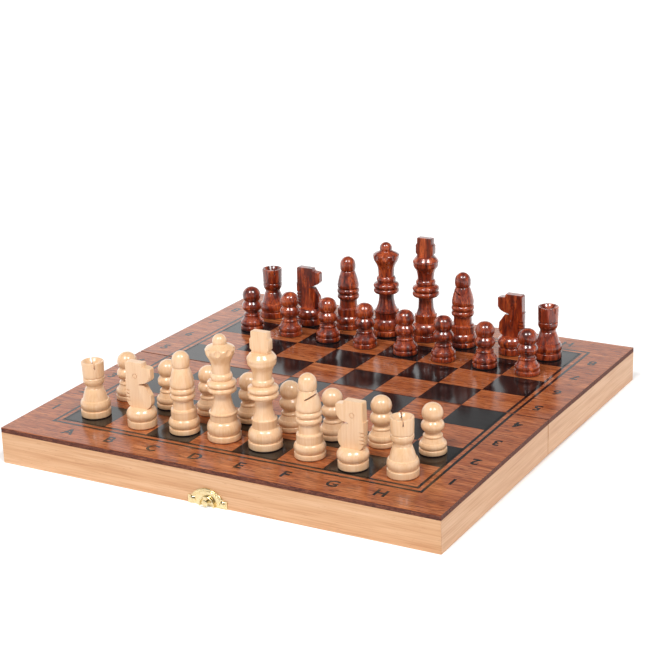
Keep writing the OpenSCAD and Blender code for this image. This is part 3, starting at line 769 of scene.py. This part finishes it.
def cheekFacet(sign):
    # cutter that leaves a sloping flat from the mouth down to the chest, on one side
    look = men["knight"]["head"]
    half = look["thick"] / 2
    points = [Vector((x, -half + (look["facetDepth"] if i == 2 else 0), z))
              for i, (x, z) in enumerate(look["facet"])]
    normal = (points[1] - points[0]).cross(points[2] - points[0])
    bm = bmesh.new()
    for x, z in look["facetReach"]:
        y = points[0].y - (normal.x * (x - points[0].x) + normal.z * (z - points[0].z)) / normal.y
        for depth in (y, -9):    # the far side lies clear of the head
            bm.verts.new((x * mm, depth * sign * mm, z * mm))
    bmesh.ops.convex_hull(bm, input=bm.verts)
    return bm


def knightShape():
    look = men["knight"]["head"]
    half = look["thick"] / 2
    head = slab(look["outline"], -half, half)

    def onRim(edge, test):
        # is the edge part of the outline of one cheek, with both its ends where the test says
        ends = [v.co / mm for v in edge.verts]
        return (abs(ends[0].z - ends[1].z) < 0.01 and abs(abs(ends[0].z) - half) < 0.01
                and all(test(p.x, p.y) for p in ends))

    jaw = look["jaw"]
    softenEdges(head, look["muzzle"], 1, 60,
                lambda e: onRim(e, lambda x, z: z > jaw and x < look["muzzleFrom"]))
    softenEdges(head, look["round"], 2, 60,
                lambda e: onRim(e, lambda x, z: z > jaw and x > look["roundFrom"]))
    moved(head, upright)
    head = combine(head, [turn(look["blank"])], "INTERSECT")
    cutters = [cheekFacet(1), cheekFacet(-1)]
    x, z = look["eye"]
    inner, outer = look["eyeRadius"] - look["eyeGroove"][0], look["eyeRadius"] + look["eyeGroove"][1]
    floor, clear = half - look["eyeDepth"], half + 1
    long, deep, tall = look["notch"]
    for face in (-1, 1):
        ring = turn([(inner, floor), (outer, floor), (outer, clear), (inner, clear), (inner, floor)], 32)
        matrix = (Matrix.Translation((x * mm, 0, z * mm))
                  @ Matrix.Rotation(face * math.pi / 2, 4, "X"))
        cutters.append(moved(ring, matrix))
        for level in look["mane"]:
            notch = block((-long, -deep, -tall), (long, deep, tall))
            matrix = (Matrix.Translation(Vector((look["notchFrom"], face * (half + 0.35), level)) * mm)
                      @ Matrix.Rotation(-face * math.radians(look["notchTurn"]), 4, "Z"))
            cutters.append(moved(notch, matrix))
    head = combine(head, cutters)
    return combine(turn(men["knight"]["outline"]), [head], "UNION")


def standingPlace(node, kind, side):
    # a man's foot is the widest part of it, so the box of its node gives the foot's middle
    low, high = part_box(node)
    x = (low[0] + high[0]) / 2
    if kind == "knight":    # but its muzzle reaches past the foot
        x = (high[0] - men[kind]["foot"] * mm if turned.get(node, 0) == 0
             else low[0] + men[kind]["foot"] * mm)
    middle = onTable[side].inverted() @ Vector((x, (low[1] + high[1]) / 2, low[2]))
    return (x, middle.y, board["height"])


shapes = {
    "pawn": lambda: turn(men["pawn"]["outline"]),
    "king": kingShape, "queen": queenShape, "bishop": bishopShape,
    "rook": rookShape, "knight": knightShape,
}
woods = {"white": (creamWood, "pale_lacquer"), "black": (redWood, "red_lacquer")}
backRank = ["rook", "knight", "bishop", "queen", "king", "bishop", "knight", "rook"]
for kind, shape in shapes.items():
    wood = finishMesh(shape(), kind + "Wood", [])
    radius = men[kind]["foot"] - feltPad["inset"]
    low, high, edge = feltPad["clear"], feltPad["thick"], feltPad["round"]
    pad = finishMesh(turn([(0, low), (radius - edge, low), (radius, low + edge, 0.3),
                           (radius, high), (0, high)], 64), kind + "Felt", [])
    for colour, (material, slotName) in woods.items():
        side = "front" if colour == "white" else "rear"
        for file, letter in enumerate("abcdefgh"):
            if kind != "pawn" and backRank[file] != kind:
                continue
            node = colour + "_" + kind + "_" + letter
            toSquare = (onTable[side] @ Matrix.Translation(standingPlace(node, kind, side))
                        @ Matrix.Rotation(math.radians(turned.get(node, 0)), 4, "Z"))
            name = colour + kind.capitalize() + letter.upper()
            for mesh, finish, suffix in ((wood, material, ""), (pad, feltMaterial, "Felt")):
                own = mesh.copy()
                own.name = name + suffix
                own.transform(toSquare)
                own.materials.append(finish)
                place(own, node + "_man", node)
    print(kind, "made,", len(wood.polygons), "faces")

# Floor and light: a white sweep round the back with a dim room above it, and a broad soft lamp
# each side of the camera
studio = {
    "floorSize": 14, "floorColour": "#fafafa", "floorRoughness": 0.9, "floorGlow": 0.15,
    "awayFromCamera": (-0.49, 0.87, 0), "sweepNear": 0.5, "sweepFar": 1.3, "sweepReach": 0.8,
    "sweepTop": (0.19, 0.235), "sweepSlant": 0.37, "slantFrom": -0.2, "ceiling": 0.15,
    "lights": [    # name, side it shines from, angle across in degrees, strength
        ("leftLamp", (-0.09, -0.91, 1.31), 17, 1.75),
        ("rightLamp", (0.83, -0.4, 1.31), 17, 1.65),
    ],
}
bm = bmesh.new()
bmesh.ops.create_grid(bm, x_segments=1, y_segments=1, size=studio["floorSize"] / 2)
floorMesh = bpy.data.meshes.new("floor")
bm.to_mesh(floorMesh)
bm.free()
floor = bpy.data.objects.new("floor", floorMesh)
scene.collection.objects.link(floor)
# matt white paper, a little of its own light so that it stays white to the edges
floorMaterial = startMaterial("whitePaperSweep", {
    "Base Color": linear(studio["floorColour"]), "Roughness": studio["floorRoughness"],
    "Emission Color": (1, 1, 1, 1), "Emission Strength": studio["floorGlow"]})[0]
floorMesh.materials.append(floorMaterial)
world = bpy.data.worlds.new("whiteRoom")
world.use_nodes = True
tree = world.node_tree
direction = addNode(tree, "ShaderNodeTexCoord", {})
facing = addNode(tree, "ShaderNodeVectorMath", {"operation": "DOT_PRODUCT", 1: studio["awayFromCamera"]},
                 {0: direction.outputs["Generated"]})
sweep = addNode(tree, "ShaderNodeMapRange",
                {"From Min": -studio["sweepReach"], "From Max": studio["sweepReach"],
                 "To Min": studio["sweepNear"], "To Max": studio["sweepFar"]},
                {"Value": facing.outputs["Value"]})
split = addNode(tree, "ShaderNodeSeparateXYZ", {}, {0: direction.outputs["Generated"]})
# the sweep stands higher at the left, so its top edge slants
leftward = addNode(tree, "ShaderNodeMath", {"operation": "MINIMUM", 1: studio["slantFrom"]},
                   {0: split.outputs["X"]})
slanted = addNode(tree, "ShaderNodeMath", {"operation": "MULTIPLY_ADD", 1: studio["sweepSlant"]},
                  {0: leftward.outputs[0], 2: split.outputs["Z"]})
rise = addNode(tree, "ShaderNodeMapRange",
               {"From Min": studio["sweepTop"][0], "From Max": studio["sweepTop"][1],
                "To Max": studio["ceiling"]},
               {"Value": slanted.outputs[0], "To Min": sweep.outputs["Result"]})
tree.nodes["Background"].inputs["Color"].default_value = (1, 1, 1, 1)
tree.links.new(rise.outputs["Result"], tree.nodes["Background"].inputs["Strength"])
scene.world = world
for name, side, across, strength in studio["lights"]:
    lamp = bpy.data.lights.new(name, "SUN")
    lamp.angle = math.radians(across)
    lamp.energy = strength
    item = bpy.data.objects.new(name, lamp)
    item.rotation_euler = (-Vector(side)).to_track_quat("-Z", "Y").to_euler()
    scene.collection.objects.link(item)
scene.view_settings.view_transform = "Standard"
print("studio set")

bpy.context.view_layer.update()
